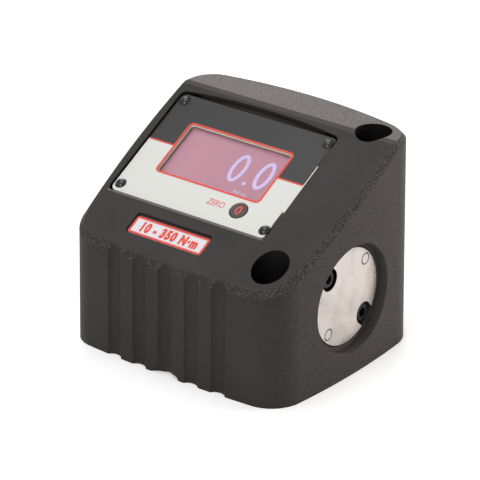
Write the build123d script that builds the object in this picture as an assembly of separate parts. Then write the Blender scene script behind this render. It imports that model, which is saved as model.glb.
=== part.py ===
from build123d import *
from math import cos, radians, sin, tan
import os

# Bench torque wrench tester. X runs along the torque shaft towards its fixed flange,
# Y towards the rear, Z up. The origin is under the middle of the housing.

# Housing, outside
body_width = 150.7
body_depth = 133.3
body_height = 118.6
front_height = 63.2
slope_angle = 28.3
draft_angle = 0.8
side_bow = 5.0
side_bow_shift = 7.8
rear_bow = 10.6
rear_bow_shift = -3.0
front_bow = 4.0
front_left_radius = 17.0
front_right_radius = 20.0
rear_left_radius = 20.0
rear_right_radius = 23.0
edge_chamfer = 2.8
crease_facet = 3.6

# Housing, inside
wall = 7.0
roof = 9.0
top_wall = 6.0

# Flutes and finger scoop on the front
flute_count = 5
flute_pitch = 17.6
flute_width = 9.2
flute_depth = 2.5
flute_x = -2.2
scoop_radius = 13.0
scoop_depth = 4.6
scoop_drop = 3.2

# Bolt wells, upright through the right-hand side
well_radius = 10.0
well_bolt_radius = 6.75
well_floor = 18.0
well_spacing = 90.0
well_inset = 22.5
well_column_wall = 4.5

# Torque shaft
axis_height = 43.7
axis_offset = -2.45
flange_radius = 27.5
flange_thickness = 12.0
flange_sink = 5.2
flange_gap = 0.3
flange_ring_width = 3.0
flange_ring_depth = 0.5
neck_radius = 16.0
neck_length = 12.0
gauge_radius = 12.0
gauge_taper = 4.0
gauge_flat = 11.4
gauge_flat_length = 24.0
drive_radius = 17.0
drive_length = 42.0
drive_sink = 0.9
drive_square = 12.8
drive_square_depth = 18.0
drive_square_lead = 0.9
drive_drill_radius = 5.0
drive_drill_depth = 4.0
detent_groove_radius = 7.4
detent_groove_place = 8.0
detent_groove_width = 3.0
shaft_clearance = 2.0
shaft_edge = 0.6

# Fixings of the flange
screw_circle = 22.1
screw_angle = 135.0
dowel_circle = 22.75
notch_radius = 6.1
flange_screw_radius = 3.0
flange_screw_head_radius = 5.0
flange_screw_head = 6.0
flange_screw_sink = 0.9
flange_screw_length = 20.0
flange_screw_hex = 5.0
flange_screw_hex_depth = 3.0
screw_hole_clearance = 0.3
thread_clearance = 0.05
dowel_radius = 3.0
dowel_length = 23.0
dowel_edge = 0.35
dowel_clearance = 0.02
blind_clearance = 1.0

# Bush and seal at the drive end
bush_wall = 5.0
bush_length = 16.0
seal_thickness = 3.0
seal_sink = 0.4
running_clearance = 0.05
spot_face_rim = 4.0
spot_face_depth = 0.8
boss_wall = 8.0
boss_floor = 2.0

# Front panel and its recess, measured along the slope from the front edge
panel_width = 104.4
panel_length = 72.6
panel_thickness = 1.8
panel_sink = 1.2
panel_corner = 3.5
panel_x = -13.8
panel_up = 72.7
panel_gap = 0.9
panel_gap_below = 1.3
panel_relief = 1.4
panel_relief_above = 20.0
panel_relief_below = 19.0
recess_bow = 3.6
recess_corner = 4.0
gasket_thickness = 0.8
gasket_inset = 1.8
gasket_relief = 7.0

# Panel fixings
rivet_span_x = 96.8
rivet_span_up = 62.9
rivet_x = -13.8
rivet_up = 73.0
rivet_width = 2.6
rivet_head_radius = 3.3
rivet_head = 1.8
rivet_length = 6.2

# Display
window_width = 68.1
window_length = 34.4
window_corner = 1.8
window_x = -13.9
window_up = 74.0
lens_thickness = 1.5
lens_overlap = 2.0
frame_wall = 3.3
frame_lip = 0.5
frame_gap = 0.5
glass_width = 72.0
glass_length = 38.0
glass_thickness = 2.8
fit_gap = 0.2

# Range label
label_width = 49.0
label_length = 11.4
label_corner = 1.6
label_thickness = 0.5
label_sink = 0.8
label_x = -13.7
label_up = 19.9
label_gap = 0.7
label_gap_above = 1.8
label_recess_corner = 2.0

# Circuit board
board_width = 94.0
board_length = 63.0
board_thickness = 1.6
board_corner = 3.0
board_x = -14.6
board_up = 73.1
board_depth = 13.0
board_edge = 3.5
board_gap = 0.5
pillar_width = 5.5
board_screw_radius = 1.25
board_screw_head_width = 5.0
board_screw_head = 1.8
board_screw_bite = 3.5

# ZERO key and its switch
key_x = 13.4
key_up = 48.0
key_radius = 4.8
key_gap = 0.3
key_proud = 0.2
key_edge = 0.25
key_flange_radius = 6.2
key_flange_thickness = 0.4
key_travel = 0.5
key_stem_radius = 2.0
key_hole_radius = 3.5
switch_width = 6.2
switch_height = 3.5
switch_edge = 0.3
plunger_radius = 1.7
plunger_rise = 1.2
plunger_grip = 1.9
stop_gap = 0.3

# Base plate
plate_thickness = 2.0
plate_sink = 0.6
plate_inset = 4.0
plate_gap = 0.3
pad_radius = 16.0
pad_height = 9.0
base_screw_left_inset = 16.35
base_screw_right_inset = 50.35
base_screw_inset = 12.5
base_screw_corner_shift = 3.3
base_screw_boss_radius = 6.5
base_screw_boss_height = 28.0
base_screw_radius = 1.5
base_screw_head_radius = 2.9
base_screw_length = 12.0

# Power inlet in the rear wall
inlet_x = -41.0
inlet_height = 30.0
inlet_seat = 5.0
inlet_wall = 5.2
inlet_spot_radius = 9.0
inlet_radius = 5.4
inlet_hole_clearance = 0.1
inlet_bore = 3.2
inlet_bore_depth = 9.0
inlet_pin_radius = 1.05
inlet_flange_width = 12.2
inlet_flange = 1.6
inlet_body_width = 8.0
inlet_body_length = 9.0
inlet_proud = 2.8
inlet_nut_width = 14.0
inlet_nut_thickness = 2.2

# Gauge patches and cable
patch_length = 9.0
patch_width = 6.0
patch_thickness = 0.3
patch_spacing = 12.0
cable_width = 2.4
cable_thickness = 1.0
cable_bend_share = 0.45
connector_width = 12.0
connector_length = 6.0
connector_height = 5.0
connector_edge = 0.4
connector_reach = 4.195767

# Derived places
half_width = body_width / 2
half_depth = body_depth / 2
draft = tan(radians(draft_angle))
side_bow_radius = (half_depth**2 + side_bow**2) / (2 * side_bow)
rear_bow_radius = (half_width**2 + rear_bow**2) / (2 * rear_bow)
front_bow_radius = (half_width**2 + front_bow**2) / (2 * front_bow)
front_corner_y = front_height * draft - half_depth
slope = Plane(
    origin=(0, front_corner_y, front_height),
    x_dir=(1, 0, 0),
    z_dir=(0, -sin(radians(slope_angle)), cos(radians(slope_angle))),
)
flange_face_x = half_width - draft * axis_height - flange_sink
flange_seat_x = flange_face_x - flange_thickness
flange_screw_seat_x = flange_face_x - flange_screw_sink - flange_screw_head
flange_screw_end_x = flange_screw_seat_x - flange_screw_length
neck_x = flange_seat_x - neck_length
drive_face_x = drive_sink + draft * axis_height - half_width
drive_neck_x = drive_face_x + drive_length
gauge_middle_x = (drive_neck_x + neck_x) / 2
connector_x = gauge_middle_x + patch_spacing / 2
connector_end = board_depth + board_thickness + connector_height
connector_y = axis_offset - (connector_reach + connector_end) * sin(radians(slope_angle))
connector_up = (connector_y - front_corner_y) / cos(radians(slope_angle))
bore_radius = drive_radius + bush_wall
spot_face_radius = bore_radius + spot_face_rim
bush_end_x = drive_face_x + seal_sink + seal_thickness + bush_length
recess_radius = flange_radius + flange_ring_width
panel_under = panel_sink + panel_thickness
recess_depth = panel_under + gasket_thickness
well_x = half_width - well_inset
well_places = [(well_x, axis_offset + side * well_spacing / 2) for side in (-1, 1)]
screw_places = [(screw_circle, screw_angle), (screw_circle, screw_angle + 180)]
dowel_places = [(dowel_circle, screw_angle - 90), (dowel_circle, screw_angle + 90)]
frame_top = panel_under + lens_thickness
glass_top = frame_top + frame_lip
frame_outer_width = glass_width + 2 * frame_wall + 2 * fit_gap
frame_outer_length = glass_length + 2 * frame_wall + 2 * fit_gap
pillar_places = [
    (board_x + i * (board_width / 2 - board_edge), board_up + j * (board_length / 2 - board_edge))
    for i in (-1, 1)
    for j in (-1, 1)
]
rivet_places = [
    (rivet_x + i * rivet_span_x / 2, rivet_up + j * rivet_span_up / 2) for i in (-1, 1) for j in (-1, 1)
]
rivet_hole = rivet_width + 2 * thread_clearance
board_slot = 2 * (board_screw_radius + screw_hole_clearance)
key_flange_top = panel_under + key_gap
key_stem_end = board_depth - switch_height - plunger_rise
through = 2 * (body_width + body_depth)

# Helpers: alignment, sides of a hexagon, how near counts as touching, and how far a side face looks upwards
BASE = (Align.CENTER, Align.CENTER, Align.MIN)
TOP = (Align.CENTER, Align.CENTER, Align.MAX)
hexagon_sides = 6
touching = 0.001
side_tilt = 0.5


def plan(inset=0.0):
    """Outline of the housing seen from above, moved inwards by inset."""
    front = Pos(0, front_bow_radius - half_depth) * Circle(front_bow_radius - inset)
    rear = Pos(rear_bow_shift, half_depth - rear_bow_radius) * Circle(rear_bow_radius - inset)
    right = Pos(half_width - side_bow_radius, side_bow_shift) * Circle(side_bow_radius - inset)
    left = Pos(side_bow_radius - half_width, side_bow_shift) * Circle(side_bow_radius - inset)
    outline = front & rear & right & left
    for across, along, radius in (
        (-half_width, -half_depth, front_left_radius),
        (half_width, -half_depth, front_right_radius),
        (-half_width, half_depth, rear_left_radius),
        (half_width, half_depth, rear_right_radius),
    ):
        corner = outline.vertices().sort_by_distance((across, along))[0]
        outline = fillet(corner, radius - inset)
    return outline


def side_profile(sink=0.0, top_sink=0.0, facet=crease_facet):
    """Space under the slope and the flat top, seen from the side, as a solid across the width."""
    slope_rise = tan(radians(slope_angle))
    drop = sink / cos(radians(slope_angle))
    top = body_height - top_sink
    front_y = -body_depth
    front_z = front_height - drop + (front_y - front_corner_y) * slope_rise
    corner_y = front_corner_y + (top - front_height + drop) / slope_rise
    points = [(front_y, -body_height), (front_y, front_z), (corner_y, top), (body_depth, top)]
    points.append((body_depth, -body_height))
    face = make_face(Polyline(points, close=True))
    if facet:
        crease = face.vertices().sort_by_distance((corner_y, top))[0]
        face = chamfer(crease, facet / 2)
    return extrude(Plane.YZ * face, through, both=True)


def on_slope(x, up, depth=0.0):
    """Place on the slope: across, up the slope, and below its surface."""
    return slope * Pos(x, up, -depth)


def along_x(x, radius=0.0, angle=0.0):
    """Place on the torque shaft, facing right, at a radius and an angle about it."""
    turn = radians(angle)
    y = axis_offset + radius * cos(turn)
    z = axis_height + radius * sin(turn)
    return Pos(x, y, z) * Rot(0, 90, 0)


def rod_x(start, end, radius, circle=0.0, angle=0.0):
    """Round bar along the torque shaft from start to end."""
    return along_x(start, circle, angle) * Cylinder(radius, end - start, align=BASE)


def plate(width, length, corner, thickness):
    """Flat rectangular plate with rounded corners, whose top is at the place it is put."""
    return extrude(RectangleRounded(width, length, corner), -thickness)


def outer_form():
    """Outside of the housing, before anything is cut into it."""
    body = extrude(plan(), body_height, taper=draft_angle)
    flat_top = body.faces().sort_by(Axis.Z)[-1]
    body = chamfer(flat_top.edges(), edge_chamfer) & side_profile(facet=0)
    slanted = body.faces().filter_by(slope)[0]
    rims = [e for e in slanted.edges() if beside_a_side_face(body, e)]
    return chamfer(rims, edge_chamfer) & side_profile()


def beside_a_side_face(body, edge):
    """Whether one of the faces that meet at an edge is a side of the housing."""
    middle = edge @ (1 / 2)
    near = [f for f in body.faces() if f.distance_to(middle) < touching]
    return min(f.normal_at(middle).Z for f in near) < side_tilt


def cavity():
    """Hollow of the housing, open below."""
    hollow = extrude(plan(wall), body_height, taper=draft_angle) & side_profile(roof, top_wall)
    for x, y in well_places:
        hollow -= Pos(x, y) * Cylinder(well_radius + well_column_wall, through)
    for x, y in base_screw_places():
        hollow -= Pos(x, y) * Cylinder(base_screw_boss_radius, base_screw_boss_height, align=BASE)
    flange_boss_start = flange_screw_end_x - blind_clearance - boss_floor
    hollow -= rod_x(flange_boss_start, half_width, flange_radius + boss_wall)
    hollow -= rod_x(-half_width, bush_end_x, bore_radius + boss_wall)
    hollow -= extrude(corner_pads(pad_radius), pad_height)
    room_depth = board_depth + board_thickness + board_screw_head + board_gap - roof
    room = plate(board_width + 2 * board_gap, board_length + 2 * board_gap, board_corner, room_depth)
    return hollow + on_slope(board_x, board_up, roof) * room


def base_screw_places():
    """Four screws that hold the base plate, set in from the front and rear faces."""
    y = half_depth - base_screw_inset
    corner_y = y - base_screw_corner_shift
    left = base_screw_left_inset - half_width
    right = half_width - base_screw_right_inset
    return [(left, -corner_y), (left, corner_y), (right, -y), (right, y)]


def corner_pads(radius):
    """Solid pads round the bolt wells, out to the housing's right-hand corners."""
    pads = Sketch()
    for x, y in well_places:
        side = 1 if y > axis_offset else -1
        corner = Rectangle(body_width, body_depth)
        pads += Pos(x, y) * Circle(radius)
        pads += Pos(x - radius + half_width, y + side * half_depth) * corner
        pads += Pos(x + half_width, y + side * (half_depth - radius)) * corner
    return pads


def flute_cutters():
    """Upright round grooves across the front, leaning back with the front face."""
    radius = (flute_width**2 / 4 + flute_depth**2) / (2 * flute_depth)
    cutters = []
    for i in range(flute_count):
        x = flute_x + (i - (flute_count - 1) / 2) * flute_pitch
        face_y = x**2 / (2 * front_bow_radius) - half_depth
        place = Pos(x, face_y - radius + flute_depth, 0) * Rot(-draft_angle, 0, 0)
        cutters.append(place * Cylinder(radius, 2 * body_height))
    return cutters


def scoop_cutter():
    """Hollow for a fingertip at the foot of the middle flute."""
    return Pos(flute_x, -half_depth + scoop_depth - scoop_radius, -scoop_drop) * Sphere(scoop_radius)


def panel_recess():
    """Sunk seat of the front panel, with its upper edge bowed."""
    half = panel_width / 2 + panel_gap
    low = panel_up - panel_length / 2 - panel_gap_below
    high = panel_up + panel_length / 2 + panel_gap
    left, right = panel_x - half, panel_x + half
    edges = Polyline((left, high), (left, low), (right, low), (right, high))
    edges += ThreePointArc((left, high), (panel_x, high + recess_bow), (right, high))
    outline = make_face(edges)
    outline = fillet(outline.vertices(), recess_corner)
    return extrude(slope * outline, -recess_depth)


def label_recess():
    """Sunk seat of the range label, wider above it."""
    length = label_length + label_gap + label_gap_above
    up = label_up + (label_gap_above - label_gap) / 2
    depth = label_sink + label_thickness
    seat = plate(label_width + 2 * label_gap, length, label_recess_corner, depth)
    return on_slope(label_x, up) * seat


def shaft_openings():
    """Recess, flange seat, shaft tunnel and bush bore along the torque shaft."""
    floor_x = flange_face_x - flange_ring_depth
    cut = rod_x(floor_x, half_width + flange_sink, recess_radius)
    cut += rod_x(flange_seat_x, half_width, flange_radius + flange_gap)
    cut += rod_x(-half_width, half_width, neck_radius + shaft_clearance)
    cut += rod_x(-half_width - drive_sink, bush_end_x, bore_radius)
    cut += rod_x(-half_width - drive_sink, drive_face_x - drive_sink + spot_face_depth, spot_face_radius)
    start = flange_screw_end_x - blind_clearance
    for circle, angle in screw_places:
        cut += rod_x(start, flange_face_x, flange_screw_radius + thread_clearance, circle, angle)
    start = flange_face_x - dowel_length - blind_clearance
    for circle, angle in dowel_places:
        cut += rod_x(start, flange_face_x, dowel_radius + dowel_clearance, circle, angle)
    return cut


def housing():
    """Cast body: drafted and bowed outside, hollow inside, with its seats and bores."""
    body = outer_form()
    for cutter in flute_cutters():
        body -= cutter
    body -= scoop_cutter()
    body -= cavity()
    body -= extrude(plan(plate_inset) - corner_pads(pad_radius), plate_thickness + plate_sink)
    body -= panel_recess()
    body -= label_recess()
    body -= shaft_openings()
    for x, y in well_places:
        body -= Pos(x, y, well_floor) * Cylinder(well_radius, body_height, align=BASE)
        body -= Pos(x, y) * Cylinder(well_bolt_radius, body_height)
    body -= on_slope(window_x, window_up) * frame_opening(2 * roof)
    body -= on_slope(key_x, key_up) * Cylinder(key_hole_radius, 2 * roof, align=TOP)
    pocket_depth = key_flange_top + key_flange_thickness + key_travel + stop_gap
    body -= on_slope(key_x, key_up) * Cylinder(key_flange_radius + key_gap, pocket_depth, align=TOP)
    room = Box(switch_width + 2 * stop_gap, switch_width + 2 * stop_gap, 2 * roof, align=TOP)
    body -= on_slope(key_x, key_up, board_depth - switch_height - stop_gap) * room
    for x, up in rivet_places:
        depth = panel_sink + rivet_length + blind_clearance / 2
        body -= on_slope(x, up) * Box(rivet_hole, rivet_hole, depth, align=TOP)
    for x, up in pillar_places:
        bore = Cylinder(board_screw_radius + thread_clearance, board_screw_bite, align=BASE)
        body -= on_slope(x, up, roof) * bore
    bore = Cylinder(base_screw_radius + thread_clearance, base_screw_length + blind_clearance, align=BASE)
    for x, y in base_screw_places():
        body -= Pos(x, y) * bore
    seat_y = half_depth - inlet_seat
    body -= inlet_place(seat_y) * Cylinder(inlet_spot_radius, inlet_seat, align=BASE)
    body -= inlet_place(seat_y) * Cylinder(inlet_radius + inlet_hole_clearance, 2 * wall)
    room = extrude(hexagon(inlet_flange_width + 2 * fit_gap), -wall)
    body -= inlet_place(seat_y - inlet_wall) * room
    return body


def frame_opening(depth):
    """Opening that the display frame passes through."""
    width = frame_outer_width + 2 * frame_gap
    length = frame_outer_length + 2 * frame_gap
    return extrude(Rectangle(width, length), -depth)


def base_plate():
    """Plate that closes the underside, notched round the bolt wells."""
    outline = plan(plate_inset + plate_gap) - corner_pads(pad_radius + plate_gap)
    body = Pos(0, 0, plate_sink) * extrude(outline, plate_thickness)
    for x, y in base_screw_places():
        body -= Pos(x, y) * Cylinder(base_screw_radius + screw_hole_clearance, through)
        body -= Pos(x, y, plate_sink) * base_screw_head(thread_clearance)
    return body


def base_screw_head(clearance=0.0):
    """Countersunk head, face down, with its flat face at the plate's underside."""
    depth = base_screw_head_radius - base_screw_radius
    return Cone(base_screw_head_radius + clearance, base_screw_radius + clearance, depth, align=BASE)


def base_screws():
    """Countersunk screws of the base plate."""
    screws = []
    for x, y in base_screw_places():
        shank = Cylinder(base_screw_radius, base_screw_length - plate_sink, align=BASE)
        screws.append(Pos(x, y, plate_sink) * (shank + base_screw_head()))
    return screws


def torque_shaft():
    """Flange, torsion section and square drive end, turned from one bar."""
    half = [(drive_face_x, 0), (drive_face_x, drive_radius), (drive_neck_x, drive_radius)]
    half += [(drive_neck_x, gauge_radius), (neck_x, gauge_radius), (neck_x, neck_radius)]
    half += [(flange_seat_x, neck_radius), (flange_seat_x, flange_radius)]
    half += [(flange_face_x, flange_radius), (flange_face_x, 0)]
    outline = make_face(Polyline(half, close=True))
    gauge_ends = [outline.vertices().sort_by_distance(p)[0] for p in half[3:5]]
    outline = chamfer(gauge_ends, gauge_taper)
    edges = [outline.vertices().sort_by_distance(p)[0] for p in (half[1], half[-2])]
    outline = chamfer(edges, shaft_edge)
    body = Pos(0, axis_offset, axis_height) * revolve(Plane.XZ * outline, Axis.X)
    for side in (-1, 1):
        z = axis_height + side * (gauge_flat + gauge_radius)
        flat = Box(gauge_flat_length, 2 * gauge_radius, 2 * gauge_radius)
        body -= Pos(gauge_middle_x, axis_offset, z) * flat
    body -= square_socket()
    notch = Circle(notch_radius) + Pos(0, notch_radius) * Rectangle(2 * notch_radius, 2 * notch_radius)
    slot = extrude(notch, flange_thickness)
    hole = flange_screw_radius + screw_hole_clearance
    for circle, angle in screw_places:
        body -= along_x(flange_screw_seat_x, circle, angle) * Rot(0, 0, angle) * slot
        body -= rod_x(neck_x, flange_face_x, hole, circle, angle)
    hole = dowel_radius + dowel_clearance
    rim = Cone(dowel_radius, dowel_radius + 2 * dowel_edge, 2 * dowel_edge)
    for circle, angle in dowel_places:
        body -= rod_x(neck_x, flange_face_x, hole, circle, angle)
        body -= along_x(flange_face_x, circle, angle) * rim
    return body


def square_socket():
    """Female square in the drive end, with its lead, drill point and detent groove."""
    mouth = Plane(origin=(drive_face_x, axis_offset, axis_height), x_dir=(0, 1, 0), z_dir=(1, 0, 0))
    cut = extrude(mouth * Rectangle(drive_square, drive_square), drive_square_depth)
    lead = [mouth * Rectangle(drive_square + 2 * drive_square_lead, drive_square + 2 * drive_square_lead)]
    lead.append(mouth.offset(drive_square_lead) * Rectangle(drive_square, drive_square))
    cut += loft(lead)
    cut += mouth * Cylinder(drive_drill_radius, drive_square_depth + drive_drill_depth, align=BASE)
    groove = Cylinder(detent_groove_radius, detent_groove_width, align=BASE)
    return cut + mouth.offset(detent_groove_place) * groove


def flange_screws():
    """Two socket-head cap screws that hold the flange."""
    head = Cylinder(flange_screw_head_radius, flange_screw_head, align=BASE)
    screw = chamfer(head.edges().sort_by(Axis.Z)[-1], shaft_edge)
    socket = extrude(hexagon(flange_screw_hex), flange_screw_hex_depth)
    screw -= Pos(0, 0, flange_screw_head - flange_screw_hex_depth) * socket
    screw += Cylinder(flange_screw_radius, flange_screw_length, align=TOP)
    return [along_x(flange_screw_seat_x, circle, angle) * screw for circle, angle in screw_places]


def hexagon(width):
    """Hexagon of a width across its flats."""
    return RegularPolygon(width / 2, hexagon_sides, major_radius=False)


def flange_dowels():
    """Two dowel pins that carry the flange's torque into the housing."""
    pin = Cylinder(dowel_radius, dowel_length, align=TOP)
    pin = chamfer(pin.edges().sort_by(Axis.Z)[-1], dowel_edge)
    return [along_x(flange_face_x, circle, angle) * pin for circle, angle in dowel_places]


def drive_bush():
    """Plain bush that carries the drive end of the shaft."""
    start = bush_end_x - bush_length
    ring = rod_x(start, bush_end_x, bore_radius - running_clearance)
    return ring - rod_x(start, bush_end_x, drive_radius + running_clearance)


def drive_seal():
    """Soft ring that keeps dirt out of the bush."""
    start = drive_face_x + seal_sink
    ring = rod_x(start, start + seal_thickness, bore_radius - running_clearance)
    return ring - rod_x(start, start + seal_thickness, drive_radius + running_clearance)


def strain_gauges():
    """Gauge patches on the two flats of the torsion section."""
    patches = []
    for side in (-1, 1):
        for step in (-0.5, 0.5):
            z = axis_height + side * (gauge_flat + patch_thickness / 2)
            place = Pos(gauge_middle_x + step * patch_spacing, axis_offset, z)
            patches.append(place * Box(patch_length, patch_width, patch_thickness))
    return patches


def gauge_cable():
    """Flat lead from the upper gauges, straight up and then square into the connector under the board."""
    start = Vector(connector_x, axis_offset, axis_height + gauge_flat + patch_thickness)
    end = on_slope(connector_x, connector_up, connector_end).position
    bend = end - slope.z_dir * connector_reach
    shorter = min(connector_reach, bend.Z - start.Z)
    radius = cable_bend_share * shorter / tan(radians(slope_angle) / 2)
    path = FilletPolyline(start, bend, end, radius=radius)
    section = Plane(origin=start, z_dir=(0, 0, 1)) * Rectangle(cable_width, cable_thickness)
    return sweep(section, path)


def cable_connector():
    """Connector of the gauge lead, under the board."""
    body = Box(connector_width, connector_length, connector_height, align=TOP)
    body = chamfer(body.edges().filter_by(Axis.Z), connector_edge)
    return on_slope(connector_x, connector_up, board_depth + board_thickness) * body


def front_panel():
    """Panel plate with its window, key and rivet openings, cut back above and below on its right edge."""
    body = plate(panel_width, panel_length, panel_corner, panel_thickness)
    body = on_slope(panel_x, panel_up, panel_sink) * body
    for side, length in ((-1, panel_relief_below), (1, panel_relief_above)):
        relief = Box(2 * panel_relief, 2 * length, panel_under, align=TOP)
        body -= on_slope(panel_x + panel_width / 2, panel_up + side * panel_length / 2) * relief
    window = plate(window_width, window_length, window_corner, panel_under)
    body -= on_slope(window_x, window_up) * window
    body -= on_slope(key_x, key_up) * Cylinder(key_radius + key_gap, panel_under, align=TOP)
    for x, up in rivet_places:
        body -= on_slope(x, up) * Box(rivet_hole, rivet_hole, panel_under, align=TOP)
    return body


def panel_gasket():
    """Soft sheet between the panel and the floor of its recess, cut away round the rivets."""
    width = panel_width - 2 * gasket_inset
    length = panel_length - 2 * gasket_inset
    body = on_slope(panel_x, panel_up, panel_under) * plate(width, length, panel_corner, gasket_thickness)
    body -= on_slope(window_x, window_up) * frame_opening(recess_depth)
    body -= on_slope(key_x, key_up) * Cylinder(key_flange_radius + key_gap, recess_depth, align=TOP)
    for x, up in rivet_places:
        body -= on_slope(x, up) * Box(2 * gasket_relief, 2 * gasket_relief, recess_depth, align=TOP)
    return body


def panel_rivets():
    """Domed push-in fixings at the panel's corners, with square shanks."""
    dome_radius = (rivet_head_radius**2 + rivet_head**2) / (2 * rivet_head)
    dome = Pos(0, 0, rivet_head - dome_radius) * Sphere(dome_radius)
    dome &= Cylinder(rivet_head_radius, rivet_head, align=BASE)
    rivet = dome + Box(rivet_width, rivet_width, rivet_length, align=TOP)
    return [on_slope(x, up, panel_sink) * rivet for x, up in rivet_places]


def display_window():
    """Clear pane bonded under the panel."""
    width = window_width + 2 * lens_overlap
    pane = extrude(Rectangle(width, window_length + 2 * lens_overlap), -lens_thickness)
    return on_slope(window_x, window_up, panel_under) * pane


def display_frame():
    """Moulded frame that holds the display glass and the backlight on the board."""
    height = board_depth - frame_top
    body = extrude(Rectangle(frame_outer_width, frame_outer_length), -height)
    room = extrude(Rectangle(glass_width + 2 * fit_gap, glass_length + 2 * fit_gap), -height)
    body -= Pos(0, 0, -frame_lip) * room
    body -= extrude(Rectangle(window_width + 2 * frame_lip, window_length + 2 * frame_lip), -height)
    return on_slope(window_x, window_up, frame_top) * body


def lcd_glass():
    """Display glass under the frame's lip."""
    pane = extrude(Rectangle(glass_width, glass_length), -glass_thickness)
    return on_slope(window_x, window_up, glass_top) * pane


def backlight():
    """Light box that fills the frame between the display glass and the board."""
    thickness = board_depth - glass_top - glass_thickness
    box = extrude(Rectangle(glass_width, glass_length), -thickness)
    return on_slope(window_x, window_up, glass_top + glass_thickness) * box


def circuit_board():
    """Main board, parallel to the slope, slotted at its ends for its screws."""
    body = plate(board_width, board_length, board_corner, board_thickness)
    body = on_slope(board_x, board_up, board_depth) * body
    for x, up in pillar_places:
        end = board_edge if x > board_x else -board_edge
        slot = Box(board_slot + 2 * board_edge, board_slot, 4 * board_thickness)
        body -= on_slope(x + end, up, board_depth) * slot
    return body


def board_pillars():
    """Hexagonal spacers between the housing's roof and the board."""
    length = board_depth - roof
    pillar = extrude(hexagon(pillar_width), -length)
    pillar -= extrude(hexagon(board_slot), -length)
    return [on_slope(x, up, roof) * pillar for x, up in pillar_places]


def board_screws():
    """Hexagon-head screws through the board and its pillars into the roof."""
    under = board_depth + board_thickness
    length = under - roof + board_screw_bite - blind_clearance / 2
    screw = Cylinder(board_screw_radius, length, align=BASE)
    screw += extrude(hexagon(board_screw_head_width), -board_screw_head)
    return [on_slope(x, up, under) * screw for x, up in pillar_places]


def zero_switch():
    """Body of the key's switch, on the board."""
    body = Box(switch_width, switch_width, switch_height, align=BASE)
    body = chamfer(body.edges().filter_by(Axis.Z), switch_edge)
    bore = Cylinder(plunger_radius + running_clearance, plunger_grip + key_travel + stop_gap, align=TOP)
    body -= Pos(0, 0, switch_height) * bore
    return on_slope(key_x, key_up, board_depth) * body


def switch_plunger():
    """Plunger that the key's stem presses."""
    body = Cylinder(plunger_radius, plunger_rise + plunger_grip, align=TOP)
    return on_slope(key_x, key_up, key_stem_end) * body


def zero_key():
    """Round flat key with a flange that keeps it in, and a stem."""
    top = panel_sink - key_proud
    cap = Cylinder(key_radius, key_flange_top + key_flange_thickness - top, align=TOP)
    cap = chamfer(cap.edges().sort_by(Axis.Z)[-1], key_edge)
    flange = Cylinder(key_flange_radius, key_flange_thickness, align=TOP)
    stem_start = key_flange_top + key_flange_thickness
    stem = Cylinder(key_stem_radius, key_stem_end - stem_start, align=TOP)
    body = on_slope(key_x, key_up, top) * cap
    body += on_slope(key_x, key_up, key_flange_top) * flange
    body += on_slope(key_x, key_up, stem_start) * stem
    return body


def range_label():
    """Thin plate for the measuring range, in its own recess."""
    body = plate(label_width, label_length, label_corner, label_thickness)
    return on_slope(label_x, label_up, label_sink) * body


def inlet_place(y):
    """Place on the power inlet's axis, facing the rear."""
    return Pos(inlet_x, y, inlet_height) * Rot(-90, 0, 0)


def power_inlet():
    """Barrel jack: threaded barrel through the wall, hexagonal flange and square body inside."""
    seat_y = half_depth - inlet_seat
    flange_y = seat_y - inlet_wall
    barrel = inlet_place(flange_y) * Cylinder(inlet_radius, seat_y + inlet_proud - flange_y, align=BASE)
    body = barrel + inlet_place(flange_y) * extrude(hexagon(inlet_flange_width), -inlet_flange)
    rear = Box(inlet_body_width, inlet_body_width, inlet_body_length, align=TOP)
    body += inlet_place(flange_y - inlet_flange) * rear
    mouth_y = seat_y + inlet_proud
    body -= inlet_place(mouth_y) * Cylinder(inlet_bore, inlet_bore_depth, align=TOP)
    pin = Cylinder(inlet_pin_radius, inlet_bore_depth - stop_gap, align=BASE)
    return body + inlet_place(mouth_y - inlet_bore_depth) * pin


def inlet_nut():
    """Hexagonal nut of the power inlet, in its spot face."""
    nut = extrude(hexagon(inlet_nut_width), inlet_nut_thickness)
    nut -= Cylinder(inlet_radius + thread_clearance, through)
    return inlet_place(half_depth - inlet_seat) * nut


nodes = {
    "housing": housing,
    "base_plate": base_plate,
    "base_screws": base_screws,
    "torque_shaft": torque_shaft,
    "flange_screws": flange_screws,
    "flange_dowels": flange_dowels,
    "drive_bush": drive_bush,
    "drive_seal": drive_seal,
    "strain_gauges": strain_gauges,
    "gauge_cable": gauge_cable,
    "cable_connector": cable_connector,
    "front_panel": front_panel,
    "panel_gasket": panel_gasket,
    "panel_rivets": panel_rivets,
    "display_window": display_window,
    "display_frame": display_frame,
    "lcd_glass": lcd_glass,
    "backlight": backlight,
    "circuit_board": circuit_board,
    "board_pillars": board_pillars,
    "board_screws": board_screws,
    "zero_switch": zero_switch,
    "switch_plunger": switch_plunger,
    "zero_key": zero_key,
    "range_label": range_label,
    "power_inlet": power_inlet,
    "inlet_nut": inlet_nut,
}

os.makedirs("parts", exist_ok=True)
for name, make in nodes.items():
    made = make()
    solids = made if isinstance(made, list) else [made]
    export_step(Compound(children=solids, label=name), f"parts/{name}.step")
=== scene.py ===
from math import cos, radians, sin

import bpy
from bpy.props import FloatProperty, FloatVectorProperty, PointerProperty, StringProperty
from mathutils import Matrix, Vector


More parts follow.
